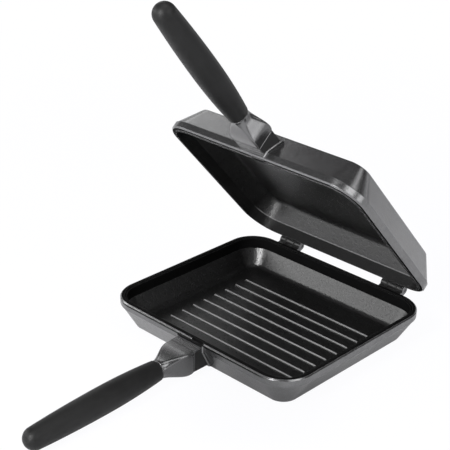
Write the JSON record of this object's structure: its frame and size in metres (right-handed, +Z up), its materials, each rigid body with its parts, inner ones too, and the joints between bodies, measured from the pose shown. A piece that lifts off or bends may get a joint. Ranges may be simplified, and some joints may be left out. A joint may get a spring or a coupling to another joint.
{
  "type": "double sided flip pan",
  "caption": "Two square pan halves on rear hinges that fold shut, ribbed floor below and smooth above, each with a straight soft handle.",
  "frame": {"origin": "centre of the lower half's underside, on the surface the pan stands on", "axes": "+Z up, +X along the hinge axis, -Y towards the handles, +Y towards the hinges"},
  "size_m": [0.26, 0.4634, 0.3929],
  "materials": {
    "pan_coat": "satin grey outside, black non-stick inside",
    "stem_coat": "satin grey coat",
    "block_black": "matte",
    "core_plastic": "matte",
    "grip_soft": "soft-touch matte",
    "steel": "plain"
  },
  "bodies": {
    "lower_half": {"lower_pan": "pan_coat", "lower_spacer": "block_black", "lower_cover": "stem_coat", "lower_stem": "stem_coat", "lower_insert": "steel", "lower_stem_bolt": "steel", "lower_washer": "steel", "lower_core": "core_plastic", "lower_core_pin": "steel", "lower_grip": "grip_soft", "left_hinge_pin": "steel", "right_hinge_pin": "steel"},
    "upper_half": {"upper_pan": "pan_coat", "upper_spacer": "block_black", "upper_cover": "stem_coat", "upper_stem": "stem_coat", "upper_insert": "steel", "upper_stem_bolt": "steel", "upper_washer": "steel", "upper_core": "core_plastic", "upper_core_pin": "steel", "upper_grip": "grip_soft"}
  },
  "joints": [
    {"name": "pan_hinge", "type": "hinge", "parent": "lower_half", "child": "upper_half", "pos_m": [0, 0.1251, 0.037], "axis": [-1, 0, 0], "range_deg": [-47.9, 132.1]}
  ]
}
